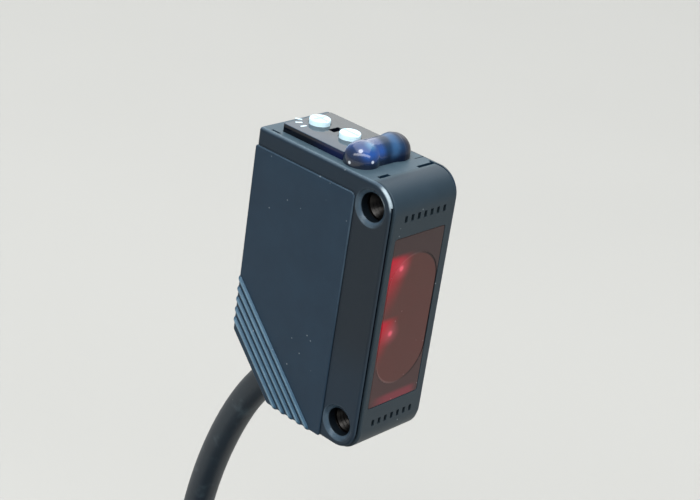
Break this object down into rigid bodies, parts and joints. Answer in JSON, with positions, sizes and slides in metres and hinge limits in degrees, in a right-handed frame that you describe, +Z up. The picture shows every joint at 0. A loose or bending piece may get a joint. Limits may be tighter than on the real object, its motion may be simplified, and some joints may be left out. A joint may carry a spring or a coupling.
{
  "type": "photoelectric sensor",
  "caption": "Compact rectangular photoelectric sensor: red front window, domed indicator cap, turning sensitivity and mode knobs, cut-corner cable exit and a coiled built-in cable.",
  "frame": {"origin": "on the mounting side, midway between the two M3 mounting holes", "axes": "+X out of the mounting side, -Y along the light beam out of the front window, +Z up towards the knobs and indicators"},
  "size_m": [0.0608, 0.0638, 0.0853],
  "materials": {
    "case_plastic": "fine moulded texture, satin",
    "bezel_plastic": "fine moulded texture, satin",
    "red_window": "polished, dark red, translucent",
    "lens_red": "polished, red, translucent",
    "smoke_cap": "polished, smoke blue, translucent",
    "white_plastic": "moulded, satin",
    "black_plastic": "matt",
    "board_green": "solder mask",
    "chip_black": "moulded epoxy",
    "ceramic_tan": "ceramic",
    "tinned_steel": "tinned sheet",
    "brass": "turned",
    "rubber": "soft, matt",
    "led_green": "clear, tinted green",
    "led_orange": "clear, tinted orange",
    "emitter_red": "clear, tinted red",
    "cable_pvc": "extruded PVC, satin",
    "lead_brown": "extruded PVC",
    "lead_blue": "extruded PVC",
    "lead_black": "extruded PVC"
  },
  "bodies": {
    "housing": {"case_body": "case_plastic", "side_cover": "case_plastic", "front_bezel": "bezel_plastic", "upper_threaded_insert": "brass", "lower_threaded_insert": "brass", "front_window": "red_window", "twin_lens": "lens_red", "lens_holder": "black_plastic", "emitter_led": "emitter_red", "receiver_photodiode": "chip_black", "receiver_shield_can": "tinned_steel", "main_board": "board_green", "indicator_board": "board_green", "board_link": "black_plastic", "signal_chip": "chip_black", "output_transistor": "chip_black", "input_capacitor": "ceramic_tan", "surge_diode": "chip_black", "adjuster_body": "black_plastic", "selector_body": "black_plastic", "adjuster_seal": "rubber", "selector_seal": "rubber", "indicator_cap": "smoke_cap", "stability_led": "led_green", "operation_led": "led_orange", "stability_light_guide": "led_green", "operation_light_guide": "led_orange", "cable_bush": "rubber", "cable_stub": "cable_pvc", "crimp_ring": "tinned_steel", "inner_lead_brown": "lead_brown", "inner_lead_blue": "lead_blue", "inner_lead_black": "lead_black", "cable_drop": "cable_pvc", "cable_coil": "cable_pvc", "cable_tail": "cable_pvc", "coil_tie": "black_plastic", "free_lead_brown": "lead_brown", "free_lead_blue": "lead_blue", "free_lead_black": "lead_black"},
    "adjuster": {"sensitivity_knob": "white_plastic"},
    "selector": {"selector_knob": "white_plastic"}
  },
  "joints": [
    {"name": "sensitivity_turn", "type": "hinge", "parent": "housing", "child": "adjuster", "pos_m": [-0.0054, 0.013, 0.017], "axis": [0, 0, 1], "range_deg": [-135, 135]},
    {"name": "selector_turn", "type": "hinge", "parent": "housing", "child": "selector", "pos_m": [-0.0054, 0.0085, 0.017], "axis": [0, 0, 1], "range_deg": [0, 90]}
  ]
}
